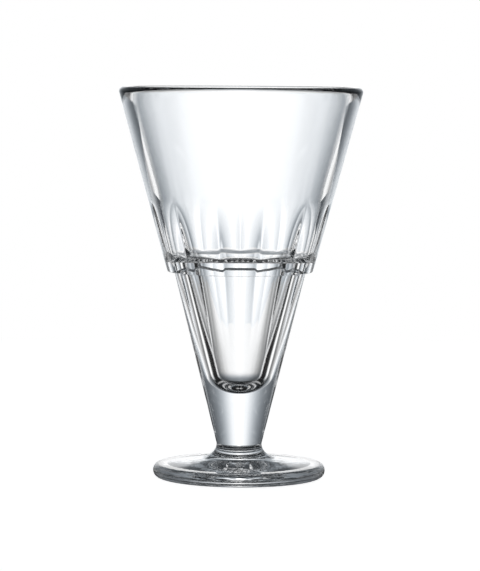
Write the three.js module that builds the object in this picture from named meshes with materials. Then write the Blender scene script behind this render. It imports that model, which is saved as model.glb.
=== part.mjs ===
// A heavy pressed-glass dessert glass: a conical bowl with a stacking shoulder, fluted inside,
// a solid tapering stem and a round foot, fused together at two flat hot joints.
// Millimetres, +Z up, with the origin on the table under the middle of the foot.
import * as THREE from "three";

// Heights above the table.
const glassHeight = 160;
const neckHeight = 13.5;
const bowlJointHeight = 28;
const shoulderHeight = 84.5;

// Outside radii.
const footRadius = 35.3;
const neckRadius = 9.25;
const lowerBowlRadius = 27;
const shoulderRadius = 29.8;
const rimRadius = 49.8;

// Roundings: the lip, the neck, the edge of the shoulder and the inner corner under it.
const lipRadius = 2;
const neckRounding = 2;
const shoulderCorner = 0.5;
const stepFillet = 0.5;

// Glass thicknesses. The upper wall grows from the thickness of the lip to this at the ledge.
const ledgeWall = 5.3;
const lowerWall = 7.2;
const floorThickness = 7.8;

// The ledge inside the bowl, a little above the shoulder, sloping down inwards.
const ledgeRise = 7.15;
const ledgeDrop = 1;
const ledgeFillet = 0.5;
const ledgeCorner = 0.8;

// The foot: a thick round edge with a flat rim, a cone up to an oval flare at the neck
// and a shallow hollow inside the flat ring that it stands on.
const footEdgeHeight = 5.4;
const footCorner = 2.4;
const rimWidth = 3.4;
const rimRounding = 3;
const coneTilt = THREE.MathUtils.degToRad(9);
const flareReach = 8.5;
const flareDrop = 6;
const ringInnerRadius = 24;
const hollowDepth = 1.2;

// Flutes: hollows side by side inside the bowl. The upper ones rise out of a scoop at the ledge
// and fade out upwards; the lower ones fade out downwards.
const fluteCount = 11;
const upperFluteDepth = 1.1;
const upperFluteHeight = 23;
const scoopHeight = 1.5;
const lowerFluteDepth = 0.6;
const lowerFluteLength = 40;

// How finely the round forms are divided.
const stepsPerFlute = 6;
const stepsPerArc = 6;
const stepsPerCorner = 3;
const stepsUpFlute = 5;

const ledgeHeight = shoulderHeight + ledgeRise;
const floorHeight = bowlJointHeight + floorThickness;
const lipCentre = new THREE.Vector2(rimRadius - lipRadius, glassHeight - lipRadius);
const neckCentre = new THREE.Vector2(neckRadius + neckRounding, neckHeight);

// Clear, colourless glass with a faint cool tint.
function clearGlass() {
  return new THREE.MeshStandardMaterial({
    color: 0xf4f7f7,
    roughness: 0.03,
    metalness: 0,
    transparent: true,
    opacity: 0.35,
  });
}

// Lean of a straight wall that touches a circle; a negative radius touches it on the other side.
function wallTilt(fromPoint, toCentre, radius) {
  const gap = toCentre.clone().sub(fromPoint);
  return Math.atan2(gap.x, gap.y) + Math.asin(radius / gap.length());
}

// Outside of the lower bowl and the stem: one straight taper from the neck's rounding to the shoulder.
const lowerEdge = new THREE.Vector2(lowerBowlRadius, shoulderHeight);
const lowerTilt = wallTilt(neckCentre, lowerEdge, neckRounding);
function lowerOutside(z) {
  return lowerBowlRadius + Math.tan(lowerTilt) * (z - shoulderHeight);
}

function lowerInside(z) {
  return lowerOutside(z) - lowerWall;
}

// Outside of the upper bowl: one straight taper from the shoulder to the lip.
const upperEdge = new THREE.Vector2(shoulderRadius, shoulderHeight);
const upperTilt = wallTilt(upperEdge, lipCentre, lipRadius);
function upperOutside(z) {
  return shoulderRadius + Math.tan(upperTilt) * (z - shoulderHeight);
}

// Inside of the upper bowl: one straight taper from the ledge to the lip.
const ledgeOuter = new THREE.Vector2(upperOutside(ledgeHeight) - ledgeWall, ledgeHeight);
const innerTilt = wallTilt(ledgeOuter, lipCentre, -lipRadius);
function upperInside(z) {
  return ledgeOuter.x + Math.tan(innerTilt) * (z - ledgeHeight);
}

// Points from one height to another on a tapering wall, both ends included.
function taper(radiusAt, fromZ, toZ, steps) {
  return Array.from({ length: steps + 1 }, (_, i) => {
    const z = THREE.MathUtils.lerp(fromZ, toZ, i / steps);
    return new THREE.Vector2(radiusAt(z), z);
  });
}

// Points of an arc of an oval, from one angle to the other, both ends included.
function arc(centre, halfWidth, halfHeight, fromAngle, toAngle, steps) {
  const clockwise = toAngle < fromAngle;
  return new THREE.EllipseCurve(
    centre.x, centre.y, halfWidth, halfHeight, fromAngle, toAngle, clockwise,
  ).getPoints(steps);
}

// Points of a round corner between two straight lines, both ends included.
function roundedCorner(before, corner, after, radius) {
  const back = before.clone().sub(corner).normalize();
  const on = after.clone().sub(corner).normalize();
  const half = back.angleTo(on) / 2;
  const middle = back.clone().add(on).normalize();
  const centre = corner.clone().addScaledVector(middle, radius / Math.sin(half));
  const first = corner.clone().addScaledVector(back, radius / Math.tan(half)).sub(centre);
  const last = corner.clone().addScaledVector(on, radius / Math.tan(half)).sub(centre);
  const clockwise = first.cross(last) < 0;
  return new THREE.EllipseCurve(
    centre.x, centre.y, radius, radius, first.angle(), last.angle(), clockwise,
  ).getPoints(stepsPerCorner);
}

// How deep the flutes are above the ledge: a round scoop to the full depth, then fading out upwards.
// "across" is 0 on a flute's middle line and 1 on the ridge beside it.
function upperFluteCut(z, across) {
  const scoop = THREE.MathUtils.clamp((z - ledgeHeight) / scoopHeight, 0, 1);
  const runOut = THREE.MathUtils.clamp((z - ledgeHeight) / upperFluteHeight, 0, 1);
  return upperFluteDepth * (1 - across ** 2) * Math.sqrt(1 - (1 - scoop) ** 2) * (1 - runOut ** 2);
}

// How deep the flutes are below the ledge: deepest there, tapering out downwards.
function lowerFluteCut(z, across) {
  const runOut = THREE.MathUtils.clamp((ledgeHeight - z) / lowerFluteLength, 0, 1);
  return lowerFluteDepth * (1 - across ** 2) * (1 - runOut);
}

// Turns an outline round the Z axis. A stretch of it may have flutes, cut outwards into the wall.
function turn(stretches) {
  const segments = fluteCount * stepsPerFlute;
  const outline = [];
  for (const { points, cut } of stretches) {
    for (const point of points) {
      const last = outline.at(-1);
      if (!last || last.point.distanceTo(point) > 1e-6) outline.push({ point, cut });
    }
  }
  const geometry = new THREE.LatheGeometry(outline.map(({ point }) => point), segments);
  const position = geometry.getAttribute("position");
  for (let i = 0; i < position.count; i++) {
    const { point, cut } = outline[i % outline.length];
    const step = Math.floor(i / outline.length) % segments;
    const angle = (2 * Math.PI * step) / segments;
    const inFlute = (step % stepsPerFlute) / stepsPerFlute;
    const across = Math.abs(((2 * inFlute + 1) % 2) - 1);
    const radius = point.x + (cut ? cut(point.y, across) : 0);
    position.setXYZ(i, radius * Math.sin(angle), -radius * Math.cos(angle), point.y);
  }
  return geometry;
}

function bowl() {
  // The outside: up the lower taper, out round the shoulder and up the upper taper to the lip.
  const stepZ = shoulderHeight - stepFillet * (1 - Math.sin(lowerTilt));
  const stepCentre = new THREE.Vector2(
    lowerOutside(stepZ) + stepFillet * Math.cos(lowerTilt), shoulderHeight - stepFillet,
  );
  const cornerZ = shoulderHeight + shoulderCorner * (1 - Math.sin(upperTilt));
  const cornerCentre = new THREE.Vector2(
    upperOutside(cornerZ) - shoulderCorner * Math.cos(upperTilt), shoulderHeight + shoulderCorner,
  );
  const lowerWallOutside = taper(lowerOutside, bowlJointHeight, stepZ, 1);
  const undercut = arc(
    stepCentre, stepFillet, stepFillet, Math.PI - lowerTilt, Math.PI / 2, stepsPerCorner,
  );
  const shoulder = arc(
    cornerCentre, shoulderCorner, shoulderCorner, -Math.PI / 2, -upperTilt, stepsPerCorner,
  );
  const lip = [
    ...arc(lipCentre, lipRadius, lipRadius, -upperTilt, 0, 1),
    ...arc(lipCentre, lipRadius, lipRadius, 0, Math.PI / 2, stepsPerCorner),
    ...arc(lipCentre, lipRadius, lipRadius, Math.PI / 2, Math.PI - innerTilt, stepsPerCorner),
  ];

  // The cavity: down the upper wall, in over the ledge, down the lower wall to a round floor.
  const ledgeInnerZ = ledgeHeight - ledgeDrop;
  const ledgeInner = new THREE.Vector2(lowerInside(ledgeInnerZ), ledgeInnerZ);
  const wallFoot = new THREE.Vector2(lowerInside(floorHeight), floorHeight);
  const fillet = roundedCorner(lip.at(-1), ledgeOuter, ledgeInner, ledgeFillet);
  const ledgeEdge = roundedCorner(ledgeOuter, ledgeInner, wallFoot, ledgeCorner);
  const scoopZ = ledgeHeight + scoopHeight;
  const upperFlutes = taper(upperInside, ledgeHeight + upperFluteHeight, scoopZ, stepsUpFlute);
  const scoops = taper(upperInside, scoopZ, fillet[0].y, stepsPerCorner);
  const lowerFluteEnd = ledgeHeight - lowerFluteLength;
  const lowerFlutes = taper(lowerInside, ledgeEdge.at(-1).y, lowerFluteEnd, stepsUpFlute);
  const floorRadius = wallFoot.x * Math.cos(lowerTilt) / (1 - Math.sin(lowerTilt));
  const floorCentre = new THREE.Vector2(0, floorHeight + floorRadius);
  const floor = arc(floorCentre, floorRadius, floorRadius, -lowerTilt, -Math.PI / 2, stepsPerArc);
  floor.at(-1).x = 0;

  return turn([
    { points: [new THREE.Vector2(0, bowlJointHeight)] },
    { points: lowerWallOutside },
    { points: undercut },
    { points: shoulder },
    { points: lip },
    { points: upperFlutes, cut: upperFluteCut },
    { points: scoops, cut: upperFluteCut },
    { points: fillet, cut: upperFluteCut },
    { points: ledgeEdge, cut: lowerFluteCut },
    { points: lowerFlutes, cut: lowerFluteCut },
    { points: floor },
  ]);
}

function stem() {
  const neck = arc(
    neckCentre, neckRounding, neckRounding, Math.PI, Math.PI - lowerTilt, stepsPerCorner,
  );
  return turn([
    { points: [new THREE.Vector2(0, neckHeight)] },
    { points: neck },
    { points: taper(lowerOutside, neck.at(-1).y, bowlJointHeight, 1) },
    { points: [new THREE.Vector2(0, bowlJointHeight)] },
  ]);
}

function foot() {
  const edgeCentre = new THREE.Vector2(footRadius - footCorner, footEdgeHeight / 2);
  const flareCentre = new THREE.Vector2(neckRadius + flareReach, neckHeight);
  const hollow = new THREE.QuadraticBezierCurve(
    new THREE.Vector2(0, hollowDepth),
    new THREE.Vector2(ringInnerRadius / 2, hollowDepth),
    new THREE.Vector2(ringInnerRadius, 0),
  ).getPoints(stepsPerCorner);
  const edge = arc(
    edgeCentre, footCorner, footEdgeHeight / 2, -Math.PI / 2, Math.PI / 2, stepsPerArc,
  );
  const flareEnd = 1.5 * Math.PI - Math.atan(Math.tan(coneTilt) * flareReach / flareDrop);
  const flare = arc(flareCentre, flareReach, flareDrop, flareEnd, Math.PI, stepsPerArc);
  const rimRadiusInside = edgeCentre.x - rimWidth;
  const rimInside = new THREE.Vector2(
    rimRadiusInside, flare[0].y - Math.tan(coneTilt) * (rimRadiusInside - flare[0].x),
  );
  const rim = roundedCorner(edge.at(-1), rimInside, flare[0], rimRounding);
  return turn([
    { points: hollow },
    { points: edge },
    { points: rim },
    { points: flare },
    { points: [new THREE.Vector2(0, neckHeight)] },
  ]);
}

// One named piece of the glass.
function piece(name, geometry) {
  const mesh = new THREE.Mesh(geometry, clearGlass());
  mesh.name = name;
  return mesh;
}

const dessertGlass = new THREE.Group();
dessertGlass.add(piece("bowl", bowl()), piece("stem", stem()), piece("foot", foot()));

export default dessertGlass;
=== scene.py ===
"""A clear pressed-glass dessert glass: fluted bowl, solid stem and round foot, in a white studio."""

import math

import bpy
from mathutils import Matrix, Vector


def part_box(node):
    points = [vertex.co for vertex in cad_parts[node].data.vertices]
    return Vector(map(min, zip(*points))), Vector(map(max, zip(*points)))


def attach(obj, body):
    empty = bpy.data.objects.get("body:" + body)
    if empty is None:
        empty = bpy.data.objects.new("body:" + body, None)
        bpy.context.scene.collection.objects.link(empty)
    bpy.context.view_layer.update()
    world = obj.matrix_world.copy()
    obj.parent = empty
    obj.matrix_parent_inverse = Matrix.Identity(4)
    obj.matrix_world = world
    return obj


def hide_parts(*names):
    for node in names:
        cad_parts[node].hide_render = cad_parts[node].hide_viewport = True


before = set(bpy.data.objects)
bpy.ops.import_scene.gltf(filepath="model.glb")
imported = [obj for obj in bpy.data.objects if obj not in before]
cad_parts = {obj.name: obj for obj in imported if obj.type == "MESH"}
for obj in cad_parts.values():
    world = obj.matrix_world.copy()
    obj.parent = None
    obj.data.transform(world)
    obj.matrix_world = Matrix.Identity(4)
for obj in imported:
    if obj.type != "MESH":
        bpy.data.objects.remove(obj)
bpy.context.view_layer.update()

# Sizes in metres. The main ones come from the solids.
MM = 0.001
GLASS_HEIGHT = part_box("bowl")[1].z
RIM_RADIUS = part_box("bowl")[1].y
BOWL_JOINT_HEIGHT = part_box("stem")[1].z
NECK_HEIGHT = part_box("stem")[0].z
FOOT_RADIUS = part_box("foot")[1].y

# Outside of the bowl and stem.
NECK_RADIUS = 9.25 * MM
NECK_ROUNDING = 2 * MM
LOWER_BOWL_RADIUS = 27 * MM
SHOULDER_RADIUS = 29.8 * MM
SHOULDER_HEIGHT = 84.5 * MM
SHOULDER_CORNER = 0.5 * MM
STEP_FILLET = 0.5 * MM

# Glass thicknesses. The upper wall grows from the thickness of the lip to that at the ledge.
LIP_RADIUS = 2 * MM
LEDGE_WALL = 5.3 * MM
LOWER_WALL = 7.2 * MM
FLOOR_THICKNESS = 7.8 * MM

# The ledge inside, a little above the shoulder.
LEDGE_RISE = 7.15 * MM
LEDGE_DROP = 1 * MM
LEDGE_FILLET = 0.5 * MM
LEDGE_CORNER = 0.8 * MM

# Foot: a flare at the neck, a cone, a flat rim and a round edge, over a hollow inside the ring it stands on.
FOOT_EDGE_HEIGHT = 5.4 * MM
FOOT_CORNER = 2.4 * MM
FLARE_REACH = 8.5 * MM
FLARE_DROP = 6 * MM
CONE_TILT = math.radians(9)
FOOT_RIM_WIDTH = 3.4 * MM
FOOT_RIM_ROUNDING = 3 * MM
RING_INNER_RADIUS = 24 * MM
HOLLOW_DEPTH = 1.2 * MM

# Flutes inside the bowl, with one of them at the front.
FLUTE_COUNT = 11
UPPER_FLUTE_DEPTH = 1.1 * MM
UPPER_FLUTE_HEIGHT = 23 * MM
SCOOP_HEIGHT = 1.5 * MM
LOWER_FLUTE_DEPTH = 0.6 * MM
LOWER_FLUTE_LENGTH = 40 * MM
RIDGE_ROUNDING = 0.03

# Finish of the glass: depth and size of the waves left by the mould, and patches of colour and polish.
GLASS_IOR = 1.52
WALL_WAVES = (0.015 * MM, 14 * MM)
UNDERSIDE_WAVES = (0.1 * MM, 4 * MM)
CLEAREST_GLASS = (0.988, 0.991, 0.995, 1)
DIMMEST_GLASS = (0.982, 0.986, 0.988, 1)
COLOUR_PATCH = 30 * MM
POLISH_PATCH = 5 * MM
POLISH_BLEND = (0.3, 0.7)
ROUGHNESS = (0.0, 0.012)

# How finely the pieces are divided, the short first step of the flare as an angle, and how upright a face's
# normal is on a joint and on the underside.
STEPS_PER_FLUTE = 28
SEGMENTS = FLUTE_COUNT * STEPS_PER_FLUTE
WALL_STEPS = 20
CURVE_STEPS = 14
CORNER_STEPS = 8
FLARE_START = 0.02
MERGE_DISTANCE = 0.002 * MM
LEVEL_FACE = 0.99
UNDERSIDE_FACE = 0.9
SMOOTH_ANGLE = math.radians(60)

# Camera, in the photograph's frame.
IMAGE_SIZE = (480, 571)
CAMERA_DISTANCE = 1.2
CAMERA_HEIGHT = 0.1703
AIM_HEIGHT = 0.0787
PIXELS_PER_METRE = 2447
CAMERA_ROLL = math.radians(0.35)
SENSOR_HEIGHT_MM = 36

# Lamps as (angle, brightness) pairs, with angles as shares of a right angle. They are brightest straight
# behind and in front of the glass, with a narrow one at each side. The high ones are wider than those below
# the horizon and end a little above it. Over them the studio is dim.
LAMP_STRENGTH = 1.7
HIGH_LAMPS = [
    (0, 1), (0.022, 0.95), (0.045, 0.72), (0.067, 0.66), (0.11, 0.61), (0.156, 0.5), (0.2, 0.39),
    (0.244, 0.3), (0.3, 0.215), (0.356, 0.16), (0.41, 0.135), (0.5, 0.103), (0.67, 0.08), (0.9, 0.07),
    (0.95, 0.6), (1, 0.71),
]
LOW_LAMPS = [
    (0, 0.8), (0.033, 0.675), (0.067, 0.59), (0.11, 0.5), (0.156, 0.37), (0.2, 0.29), (0.244, 0.22),
    (0.3, 0.14), (0.356, 0.1), (0.41, 0.08), (0.5, 0.06), (0.67, 0.05), (0.9, 0.045), (0.95, 0.6), (1, 0.71),
]
LAMP_JOIN = (0, math.radians(5))
LAMP_TOP = (math.radians(15), math.radians(20))
ABOVE_LAMPS = [(0, 0.15), (0.3, 0.13), (0.42, 0.018), (0.66, 0.018), (1, 0.05)]
DIM_TINT = 0.11
TINT_END = 0.8

# Painted light and shade on the floor as the glass sees it, as (distance, brightness) pairs, with distances
# as
# shares of its radius: painted shade round the foot and painted light further off. The shares say how much
# of each brightness shows at an angle from the back, as a share of a half turn. A painted pool of light
# under the foot stands in for light through the glass.
FLOOR_RADIUS = 0.6
FLOOR_SIDES = 128
FLOOR_GAP = 0.3 * MM
FLOOR_PAPER = (0.9, 0.9, 0.9, 1)
FLOOR_FILL = (0.92, 0.92, 0.92, 1)
FLOOR_STRENGTH = 1.25
# Painted shade: the floor is this dark for the glass wherever none of the painted light below shows.
PAINTED_SHADE_FLOOR = (0.012, 0.012, 0.012, 1)
BACK_PAINTED_LIGHT_AND_SHADE = [
    (0, 0.01), (0.08, 0.012), (0.1, 0.18), (0.13, 0.23), (0.17, 0.3), (0.22, 0.4), (0.29, 0.55),
    (0.33, 0.66), (0.37, 0.74), (0.43, 0.84), (0.52, 0.94), (0.65, 1),
]
BACK_SHARE = [(0, 1), (0.05, 0.85), (0.11, 0.4), (0.17, 0.2), (0.22, 0)]
CORNER_PAINTED_LIGHT_AND_SHADE = [(0, 0.01), (0.09, 0.012), (0.15, 0.6), (0.3, 0.95)]
CORNER_SHARE = [(0.19, 0), (0.235, 1), (0.265, 1), (0.31, 0)]
FRONT_PAINTED_LIGHT_AND_SHADE = [(0, 0.01), (0.15, 0.015), (0.25, 0.7)]
FRONT_SHARE = [
    (0.47, 0), (0.49, 1), (0.51, 1), (0.53, 0), (0.62, 0), (0.68, 1), (0.82, 1), (0.9, 0.1), (1, 0.1),
]
# A painted pool of light under the foot, in place of light through the glass: its colour, its reach from the
# axis and the angles where it shows.
FOOT_POOL_OF_PAINTED_LIGHT = (0.45, 0.45, 0.45, 1)
FOOT_POOL_REACH = [(0, 1), (0.006, 1), (0.009, 0), (0.029, 0), (0.038, 1), (0.05, 1), (0.055, 0)]
FOOT_POOL_SHARE = [(0.13, 0), (0.2, 1), (0.8, 1), (0.87, 0)]

# Times that light is followed through the glass.
GLASS_BOUNCES = 32
GLOSS_BOUNCES = 16


def point(radius, z):
    return Vector((radius, 0, z))


def wall_tilt(to_centre, radius):
    """Lean of a straight wall from one of its points to a circle that it touches, seen from its centre."""
    return math.atan2(to_centre.x, to_centre.z) + math.asin(radius / to_centre.length)


LEDGE_HEIGHT = SHOULDER_HEIGHT + LEDGE_RISE
CAVITY_FLOOR = BOWL_JOINT_HEIGHT + FLOOR_THICKNESS
LIP_CENTRE = point(RIM_RADIUS - LIP_RADIUS, GLASS_HEIGHT - LIP_RADIUS)
NECK_CENTRE = point(NECK_RADIUS + NECK_ROUNDING, NECK_HEIGHT)
UPPER_TILT = wall_tilt(LIP_CENTRE - point(SHOULDER_RADIUS, SHOULDER_HEIGHT), LIP_RADIUS)
LOWER_TILT = wall_tilt(point(LOWER_BOWL_RADIUS, SHOULDER_HEIGHT) - NECK_CENTRE, NECK_ROUNDING)


def lower_outside(z):
    return LOWER_BOWL_RADIUS + math.tan(LOWER_TILT) * (z - SHOULDER_HEIGHT)


def upper_outside(z):
    return SHOULDER_RADIUS + math.tan(UPPER_TILT) * (z - SHOULDER_HEIGHT)


def lower_inside(z):
    return lower_outside(z) - LOWER_WALL


LEDGE_OUTER = point(upper_outside(LEDGE_HEIGHT) - LEDGE_WALL, LEDGE_HEIGHT)
LEDGE_INNER = point(lower_inside(LEDGE_HEIGHT - LEDGE_DROP), LEDGE_HEIGHT - LEDGE_DROP)
INNER_TILT = wall_tilt(LIP_CENTRE - LEDGE_OUTER, -LIP_RADIUS)


def upper_inside(z):
    return LEDGE_OUTER.x + math.tan(INNER_TILT) * (z - LEDGE_HEIGHT)


def taper(radius_at, from_z, to_z, steps):
    """Points on a tapering wall, both ends included."""
    heights = [from_z + (to_z - from_z) * i / steps for i in range(steps + 1)]
    return [point(radius_at(z), z) for z in heights]


def arc(centre, half_width, half_height, from_angle, to_angle, steps):
    """Points on an arc of an oval, both ends included; angles from the outward direction."""
    angles = [from_angle + (to_angle - from_angle) * i / steps for i in range(steps + 1)]
    return [centre + point(half_width * math.cos(a), half_height * math.sin(a)) for a in angles]


def rounded(before, corner, after, radius, steps):
    """Points of a round corner between two straight lines, both ends included."""
    back = (before - corner).normalized()
    on = (after - corner).normalized()
    half = back.angle(on) / 2
    centre = corner + (back + on).normalized() * radius / math.sin(half)
    first = corner + back * radius / math.tan(half) - centre
    last = corner + on * radius / math.tan(half) - centre
    return [centre + first.slerp(last, i / steps).normalized() * radius for i in range(steps + 1)]


def curve(start, start_handle, end_handle, end, steps):
    """Points on a cubic curve between two ends with a handle each."""
    points = []
    for i in range(steps + 1):
        t = i / steps
        s = 1 - t
        points.append(s**3 * start + 3 * s * s * t * start_handle + 3 * s * t * t * end_handle + t**3 * end)
    return points


def turn_on_axis(name, stretches):
    """Draws the outline point by point with extrude and spins it round the axis into a closed piece."""
    outline = []
    for stretch in stretches:
        for p in stretch:
            if not outline or (p - outline[-1]).length > MERGE_DISTANCE:
                outline.append(p)
    bpy.ops.object.select_all(action="DESELECT")
    bpy.ops.mesh.primitive_plane_add(size=MM)
    piece = bpy.context.object
    piece.name = name
    piece.data.name = name
    bpy.ops.object.mode_set(mode="EDIT")
    bpy.ops.mesh.merge(type="CENTER")
    bpy.ops.transform.translate(value=outline[0])
    for here, there in zip(outline, outline[1:]):
        bpy.ops.mesh.extrude_region_move(TRANSFORM_OT_translate={"value": there - here})
    bpy.ops.mesh.select_all(action="SELECT")
    bpy.ops.mesh.spin(steps=SEGMENTS, angle=2 * math.pi, center=(0, 0, 0), axis=(0, 0, 1))
    bpy.ops.mesh.select_all(action="SELECT")
    bpy.ops.mesh.remove_doubles(threshold=MERGE_DISTANCE)
    bpy.ops.mesh.normals_make_consistent(inside=False)
    bpy.ops.object.mode_set(mode="OBJECT")
    return piece


def limit(value):
    return min(max(value, 0), 1)


def flute_hollow(angle):
    """Depth of a flute as a share of its full depth: a round hollow between two ridges."""
    place = ((angle + math.pi / 2) / (2 * math.pi) * FLUTE_COUNT + 0.5) % 1
    from_ridge = 1 - abs(2 * place - 1)
    rounded_ridge = math.hypot(from_ridge, RIDGE_ROUNDING) - RIDGE_ROUNDING
    rounded_ridge /= math.hypot(1, RIDGE_ROUNDING) - RIDGE_ROUNDING
    return 1 - (1 - rounded_ridge) ** 2


def flute_depth(radius, z, angle):
    """How far the inside wall is pressed outwards at a place: up from the ledge, or down from it."""
    middle = (LEDGE_OUTER.x + LEDGE_INNER.x) / 2
    if middle < radius < upper_outside(z) - LEDGE_WALL / 2:
        scoop = limit((z - LEDGE_HEIGHT) / SCOOP_HEIGHT)
        run_out = limit((z - LEDGE_HEIGHT) / UPPER_FLUTE_HEIGHT)
        return UPPER_FLUTE_DEPTH * math.sqrt(1 - (1 - scoop) ** 2) * (1 - run_out**2) * flute_hollow(angle)
    if radius < min(middle, lower_outside(z) - LOWER_WALL / 2):
        run_out = limit((LEDGE_HEIGHT - z) / LOWER_FLUTE_LENGTH)
        return LOWER_FLUTE_DEPTH * (1 - run_out) * flute_hollow(angle)
    return 0


def press_flutes(piece):
    """Presses the flutes into the wall with weighted Displace modifiers, one for each level direction."""
    ways = {"right": ("X", 0, 1), "left": ("X", 0, -1), "back": ("Y", 1, 1), "front": ("Y", 1, -1)}
    for name in ways:
        piece.vertex_groups.new(name=name)
    for v in piece.data.vertices:
        radius = math.hypot(v.co.x, v.co.y)
        share = flute_depth(radius, v.co.z, math.atan2(v.co.y, v.co.x)) / UPPER_FLUTE_DEPTH
        for name, (_, axis, sign) in ways.items():
            if share > 0 and sign * v.co[axis] > 0:
                piece.vertex_groups[name].add([v.index], share * sign * v.co[axis] / radius, "REPLACE")
    bpy.context.view_layer.objects.active = piece
    for name, (direction, _, sign) in ways.items():
        press = piece.modifiers.new(name, "DISPLACE")
        press.vertex_group = name
        press.direction = direction
        press.mid_level = 0
        press.strength = sign * UPPER_FLUTE_DEPTH
        bpy.ops.object.modifier_apply(modifier=name)


def make_bowl():
    step_z = SHOULDER_HEIGHT - STEP_FILLET * (1 - math.sin(LOWER_TILT))
    step_centre = point(
        lower_outside(step_z) + STEP_FILLET * math.cos(LOWER_TILT), SHOULDER_HEIGHT - STEP_FILLET
    )
    corner_z = SHOULDER_HEIGHT + SHOULDER_CORNER * (1 - math.sin(UPPER_TILT))
    corner_centre = point(
        upper_outside(corner_z) - SHOULDER_CORNER * math.cos(UPPER_TILT), SHOULDER_HEIGHT + SHOULDER_CORNER
    )
    lip = arc(LIP_CENTRE, LIP_RADIUS, LIP_RADIUS, -UPPER_TILT, math.pi - INNER_TILT, CURVE_STEPS)
    wall_foot = point(lower_inside(CAVITY_FLOOR), CAVITY_FLOOR)
    fillet = rounded(lip[-1], LEDGE_OUTER, LEDGE_INNER, LEDGE_FILLET, CORNER_STEPS)
    ledge_corner = rounded(LEDGE_OUTER, LEDGE_INNER, wall_foot, LEDGE_CORNER, CORNER_STEPS)
    flute_top = LEDGE_HEIGHT + UPPER_FLUTE_HEIGHT
    scoop_top = LEDGE_HEIGHT + SCOOP_HEIGHT
    flute_end = LEDGE_HEIGHT - LOWER_FLUTE_LENGTH
    floor_radius = wall_foot.x * math.cos(LOWER_TILT) / (1 - math.sin(LOWER_TILT))
    floor_centre = point(0, CAVITY_FLOOR + floor_radius)
    floor = arc(floor_centre, floor_radius, floor_radius, -LOWER_TILT, -math.pi / 2, CURVE_STEPS)
    floor[-1].x = 0
    bowl = turn_on_axis(
        "clear_bowl",
        [
            [point(0, BOWL_JOINT_HEIGHT)],
            taper(lower_outside, BOWL_JOINT_HEIGHT, step_z, WALL_STEPS),
            arc(step_centre, STEP_FILLET, STEP_FILLET, math.pi - LOWER_TILT, math.pi / 2, CORNER_STEPS),
            arc(corner_centre, SHOULDER_CORNER, SHOULDER_CORNER, -math.pi / 2, -UPPER_TILT, CORNER_STEPS),
            taper(upper_outside, corner_z, lip[0].z, WALL_STEPS),
            lip,
            taper(upper_inside, lip[-1].z, flute_top, CORNER_STEPS),
            taper(upper_inside, flute_top, scoop_top, 2 * WALL_STEPS),
            taper(upper_inside, scoop_top, fillet[0].z, CORNER_STEPS),
            fillet,
            ledge_corner,
            taper(lower_inside, ledge_corner[-1].z, flute_end, 2 * WALL_STEPS),
            taper(lower_inside, flute_end, floor[0].z, CORNER_STEPS),
            floor,
        ],
    )
    press_flutes(bowl)
    return bowl


def make_stem():
    neck = arc(NECK_CENTRE, NECK_ROUNDING, NECK_ROUNDING, math.pi, math.pi - LOWER_TILT, CORNER_STEPS)
    return turn_on_axis(
        "clear_stem",
        [
            [point(0, NECK_HEIGHT)],
            neck,
            taper(lower_outside, neck[-1].z, BOWL_JOINT_HEIGHT, CORNER_STEPS),
            [point(0, BOWL_JOINT_HEIGHT)],
        ],
    )


def make_foot():
    edge_r = FOOT_RADIUS - FOOT_CORNER
    half_edge = FOOT_EDGE_HEIGHT / 2
    flare_centre = point(NECK_RADIUS + FLARE_REACH, NECK_HEIGHT)
    flare_end = 1.5 * math.pi - math.atan(math.tan(CONE_TILT) * FLARE_REACH / FLARE_DROP)
    flare = arc(flare_centre, FLARE_REACH, FLARE_DROP, flare_end, math.pi + FLARE_START, CURVE_STEPS)
    rim_r = edge_r - FOOT_RIM_WIDTH
    rim_z = flare[0].z - math.tan(CONE_TILT) * (rim_r - flare[0].x)
    edge_top = point(edge_r, FOOT_EDGE_HEIGHT)
    rim = rounded(edge_top, point(rim_r, rim_z), flare[0], FOOT_RIM_ROUNDING, CORNER_STEPS)
    return turn_on_axis(
        "clear_foot",
        [
            curve(
                point(0, HOLLOW_DEPTH),
                point(RING_INNER_RADIUS / 3, HOLLOW_DEPTH),
                point(RING_INNER_RADIUS * 2 / 3, HOLLOW_DEPTH / 3),
                point(RING_INNER_RADIUS, 0),
                CURVE_STEPS,
            ),
            arc(point(edge_r, half_edge), FOOT_CORNER, half_edge, -math.pi / 2, math.pi / 2, CURVE_STEPS),
            rim,
            flare,
            [point(NECK_RADIUS, NECK_HEIGHT)],
            [point(0, NECK_HEIGHT)],
        ],
    )


def math_node(tree, operation, a, b=None):
    """A Math node with numbers or other nodes' sockets for inputs."""
    node = tree.nodes.new("ShaderNodeMath")
    node.operation = operation
    for socket, value in zip(node.inputs, (a, b)):
        if isinstance(value, (int, float)):
            socket.default_value = value
        elif value is not None:
            tree.links.new(value, socket)
    return node.outputs[0]


def ramp_node(tree, value, stops):
    """A colour ramp between places given as (position, grey) pairs, with a cool tint in the dim part."""
    node = tree.nodes.new("ShaderNodeValToRGB")
    elements = node.color_ramp.elements
    elements.remove(elements[1])
    for i, (position, grey) in enumerate(stops):
        element = elements[0] if i == 0 else elements.new(position)
        element.position = position
        cool = DIM_TINT * max(0, 1 - grey / TINT_END)
        element.color = (grey * (1 - cool), grey, grey * (1 + cool), 1)
    tree.links.new(value, node.inputs[0])
    return node.outputs[0]


def distance_node(tree, a, b):
    """The length of the long side of a right triangle."""
    squares = math_node(tree, "ADD", math_node(tree, "MULTIPLY", a, a), math_node(tree, "MULTIPLY", b, b))
    return math_node(tree, "SQRT", squares)


def step_node(tree, value, from_min, from_max, to_min, to_max):
    """A smooth step from one value to another."""
    node = tree.nodes.new("ShaderNodeMapRange")
    node.interpolation_type = "SMOOTHSTEP"
    tree.links.new(value, node.inputs["Value"])
    numbers = {"From Min": from_min, "From Max": from_max, "To Min": to_min, "To Max": to_max}
    for name, number in numbers.items():
        node.inputs[name].default_value = number
    return node.outputs[0]


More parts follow.
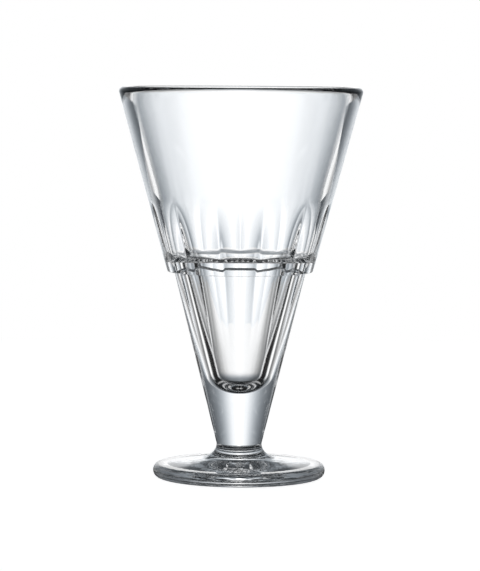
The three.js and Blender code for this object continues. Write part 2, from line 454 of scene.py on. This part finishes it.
def noise_node(tree, size):
    """Soft noise with patches of about the given size, fixed to the piece."""
    place = tree.nodes.new("ShaderNodeTexCoord")
    noise = tree.nodes.new("ShaderNodeTexNoise")
    noise.inputs["Scale"].default_value = 1 / size
    noise.inputs["Detail"].default_value = 1
    tree.links.new(place.outputs["Object"], noise.inputs["Vector"])
    return noise.outputs["Fac"]


def clear_glass(name, wave_depth, wave_size):
    """Clear pressed glass: slightly wavy from the mould, a little uneven in polish and in colour."""
    material = bpy.data.materials.new(name)
    material.use_nodes = True
    tree = material.node_tree
    shader = tree.nodes["Principled BSDF"]
    shader.inputs["IOR"].default_value = GLASS_IOR
    shader.inputs["Transmission Weight"].default_value = 1
    colour = tree.nodes.new("ShaderNodeMixRGB")
    colour.inputs[1].default_value = CLEAREST_GLASS
    colour.inputs[2].default_value = DIMMEST_GLASS
    tree.links.new(noise_node(tree, COLOUR_PATCH), colour.inputs[0])
    tree.links.new(colour.outputs[0], shader.inputs["Base Color"])
    polish = step_node(tree, noise_node(tree, POLISH_PATCH), *POLISH_BLEND, *ROUGHNESS)
    tree.links.new(polish, shader.inputs["Roughness"])
    waves = tree.nodes.new("ShaderNodeBump")
    waves.inputs["Distance"].default_value = wave_depth
    tree.links.new(noise_node(tree, wave_size), waves.inputs["Height"])
    tree.links.new(waves.outputs["Normal"], shader.inputs["Normal"])
    return material


def fused_joint():
    """The two faces of a fused joint have grown together, so nothing is seen of them."""
    material = bpy.data.materials.new("fused_joint")
    material.use_nodes = True
    shader = material.node_tree.nodes["Principled BSDF"]
    shader.inputs["Alpha"].default_value = 0
    return material


def finish_glass(piece, joint_heights, glass, joint, underside):
    """Glass all over, wavier below, with the flat joint faces out of sight, and smooth up to the joints."""
    for material in (glass, joint, underside):
        piece.data.materials.append(material)
    for face in piece.data.polygons:
        at_joint = any(abs(face.center.z - z) < MERGE_DISTANCE for z in joint_heights)
        if at_joint and abs(face.normal.z) > LEVEL_FACE:
            face.material_index = 1
        elif face.center.z < HOLLOW_DEPTH and face.normal.z < -UNDERSIDE_FACE:
            face.material_index = 2
    bpy.ops.object.select_all(action="DESELECT")
    piece.select_set(True)
    bpy.context.view_layer.objects.active = piece
    bpy.ops.object.shade_smooth_by_angle(angle=SMOOTH_ANGLE)


def studio_world():
    """Soft lamps behind, in front and at both sides of the glass. The camera itself sees plain white."""
    world = bpy.data.worlds.new("white_studio")
    bpy.context.scene.world = world
    world.use_nodes = True
    tree = world.node_tree
    nodes = tree.nodes
    links = tree.links
    nodes.clear()
    out = nodes.new("ShaderNodeOutputWorld")
    mix = nodes.new("ShaderNodeMixShader")
    path = nodes.new("ShaderNodeLightPath")
    white = nodes.new("ShaderNodeBackground")
    studio = nodes.new("ShaderNodeBackground")
    place = nodes.new("ShaderNodeTexCoord")
    split = nodes.new("ShaderNodeSeparateXYZ")
    links.new(place.outputs["Generated"], split.inputs[0])
    x = math_node(tree, "ABSOLUTE", split.outputs["X"])
    y = math_node(tree, "ABSOLUTE", split.outputs["Y"])
    height = math_node(tree, "ARCSINE", split.outputs["Z"])
    aside = math_node(tree, "DIVIDE", math_node(tree, "ARCTAN2", x, y), math.pi / 2)
    upwards = math_node(tree, "DIVIDE", height, math.pi / 2)
    lamps = nodes.new("ShaderNodeMixRGB")
    links.new(step_node(tree, height, *LAMP_JOIN, 0, 1), lamps.inputs[0])
    links.new(ramp_node(tree, aside, LOW_LAMPS), lamps.inputs[1])
    links.new(ramp_node(tree, aside, HIGH_LAMPS), lamps.inputs[2])
    blend = nodes.new("ShaderNodeMixRGB")
    links.new(step_node(tree, height, *LAMP_TOP, 0, 1), blend.inputs[0])
    links.new(lamps.outputs[0], blend.inputs[1])
    links.new(ramp_node(tree, upwards, ABOVE_LAMPS), blend.inputs[2])
    links.new(blend.outputs[0], studio.inputs["Color"])
    studio.inputs["Strength"].default_value = LAMP_STRENGTH
    links.new(path.outputs["Is Camera Ray"], mix.inputs[0])
    links.new(studio.outputs[0], mix.inputs[1])
    links.new(white.outputs[0], mix.inputs[2])
    white.inputs["Color"].default_value = (1, 1, 1, 1)
    links.new(mix.outputs[0], out.inputs["Surface"])


def painted_floor_light_and_shade(tree):
    """Painted light and shade on the floor for the glass: by its distance from the axis and its angle from
    the back.
    """
    nodes = tree.nodes
    links = tree.links
    place = nodes.new("ShaderNodeTexCoord")
    split = nodes.new("ShaderNodeSeparateXYZ")
    links.new(place.outputs["Object"], split.inputs[0])
    x = math_node(tree, "ABSOLUTE", split.outputs["X"])
    y = split.outputs["Y"]
    from_back = math_node(tree, "DIVIDE", math_node(tree, "ARCTAN2", x, y), math.pi)
    reach = math_node(tree, "DIVIDE", distance_node(tree, x, y), FLOOR_RADIUS)
    below = None
    for brightness, share in (
        (BACK_PAINTED_LIGHT_AND_SHADE, BACK_SHARE),
        (CORNER_PAINTED_LIGHT_AND_SHADE, CORNER_SHARE),
        (FRONT_PAINTED_LIGHT_AND_SHADE, FRONT_SHARE),
    ):
        blend = nodes.new("ShaderNodeMixRGB")
        blend.inputs[1].default_value = PAINTED_SHADE_FLOOR
        if below:
            links.new(below, blend.inputs[1])
        links.new(ramp_node(tree, from_back, share), blend.inputs[0])
        links.new(ramp_node(tree, reach, brightness), blend.inputs[2])
        below = blend.outputs[0]
    # Painted pool of light under the foot, laid over the painted light and shade.
    lit = nodes.new("ShaderNodeMixRGB")
    in_reach = ramp_node(tree, reach, FOOT_POOL_REACH)
    at_sides = ramp_node(tree, from_back, FOOT_POOL_SHARE)
    links.new(math_node(tree, "MULTIPLY", in_reach, at_sides), lit.inputs[0])
    links.new(below, lit.inputs[1])
    lit.inputs[2].default_value = FOOT_POOL_OF_PAINTED_LIGHT
    return lit.outputs[0]


def make_floor():
    """A white floor with the glass's shadow on it, seen in the glass as a glowing floor with painted shade
    round the foot and painted light further off.
    """
    bpy.ops.object.select_all(action="DESELECT")
    bpy.ops.mesh.primitive_circle_add(
        vertices=FLOOR_SIDES, radius=FLOOR_RADIUS, fill_type="NGON", location=(0, 0, -FLOOR_GAP)
    )
    bpy.ops.object.transform_apply(location=True)
    floor = bpy.context.object
    floor.name = "studio_floor"
    material = bpy.data.materials.new("white_floor")
    material.use_nodes = True
    tree = material.node_tree
    nodes = tree.nodes
    links = tree.links
    nodes.clear()
    out = nodes.new("ShaderNodeOutputMaterial")
    add = nodes.new("ShaderNodeAddShader")
    mix = nodes.new("ShaderNodeMixShader")
    path = nodes.new("ShaderNodeLightPath")
    paper = nodes.new("ShaderNodeBsdfDiffuse")
    fill = nodes.new("ShaderNodeEmission")
    seen = nodes.new("ShaderNodeEmission")
    paper.inputs["Color"].default_value = FLOOR_PAPER
    fill.inputs["Color"].default_value = FLOOR_FILL
    links.new(path.outputs["Is Camera Ray"], fill.inputs["Strength"])
    links.new(paper.outputs[0], add.inputs[0])
    links.new(fill.outputs[0], add.inputs[1])
    # The glass sees the floor as an emission of painted light and shade instead of the lit paper.
    links.new(painted_floor_light_and_shade(tree), seen.inputs["Color"])
    seen.inputs["Strength"].default_value = FLOOR_STRENGTH
    in_glass = math_node(tree, "MAXIMUM", path.outputs["Is Transmission Ray"], path.outputs["Is Glossy Ray"])
    links.new(in_glass, mix.inputs[0])
    links.new(add.outputs[0], mix.inputs[1])
    links.new(seen.outputs[0], mix.inputs[2])
    links.new(mix.outputs[0], out.inputs["Surface"])
    floor.data.materials.append(material)


def make_camera():
    camera_data = bpy.data.cameras.new("photo_camera")
    camera = bpy.data.objects.new("photo_camera", camera_data)
    bpy.context.scene.collection.objects.link(camera)
    camera_data.sensor_fit = "VERTICAL"
    camera_data.sensor_height = SENSOR_HEIGHT_MM
    camera_data.lens = SENSOR_HEIGHT_MM * PIXELS_PER_METRE * CAMERA_DISTANCE / IMAGE_SIZE[1]
    pitch = math.atan2(CAMERA_HEIGHT - AIM_HEIGHT, CAMERA_DISTANCE)
    turn = Matrix.Rotation(math.pi / 2 - pitch, 4, "X") @ Matrix.Rotation(CAMERA_ROLL, 4, "Z")
    camera.matrix_world = Matrix.Translation((0, -CAMERA_DISTANCE, CAMERA_HEIGHT)) @ turn
    bpy.context.scene.camera = camera


glasses = (
    clear_glass("clear_pressed_glass", *WALL_WAVES),
    fused_joint(),
    clear_glass("wavy_underside_glass", *UNDERSIDE_WAVES),
)
bowl = make_bowl()
stem = make_stem()
foot = make_foot()
finish_glass(bowl, [BOWL_JOINT_HEIGHT], *glasses)
finish_glass(stem, [BOWL_JOINT_HEIGHT, NECK_HEIGHT], *glasses)
finish_glass(foot, [NECK_HEIGHT], *glasses)
for piece, node in ((bowl, "bowl"), (stem, "stem"), (foot, "foot")):
    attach(piece, "root")
    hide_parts(node)

studio_world()
make_floor()
make_camera()

scene = bpy.context.scene
scene.view_settings.view_transform = "Standard"
scene.cycles.max_bounces = GLASS_BOUNCES
scene.cycles.transmission_bounces = GLASS_BOUNCES
scene.cycles.transparent_max_bounces = GLASS_BOUNCES
scene.cycles.glossy_bounces = GLOSS_BOUNCES
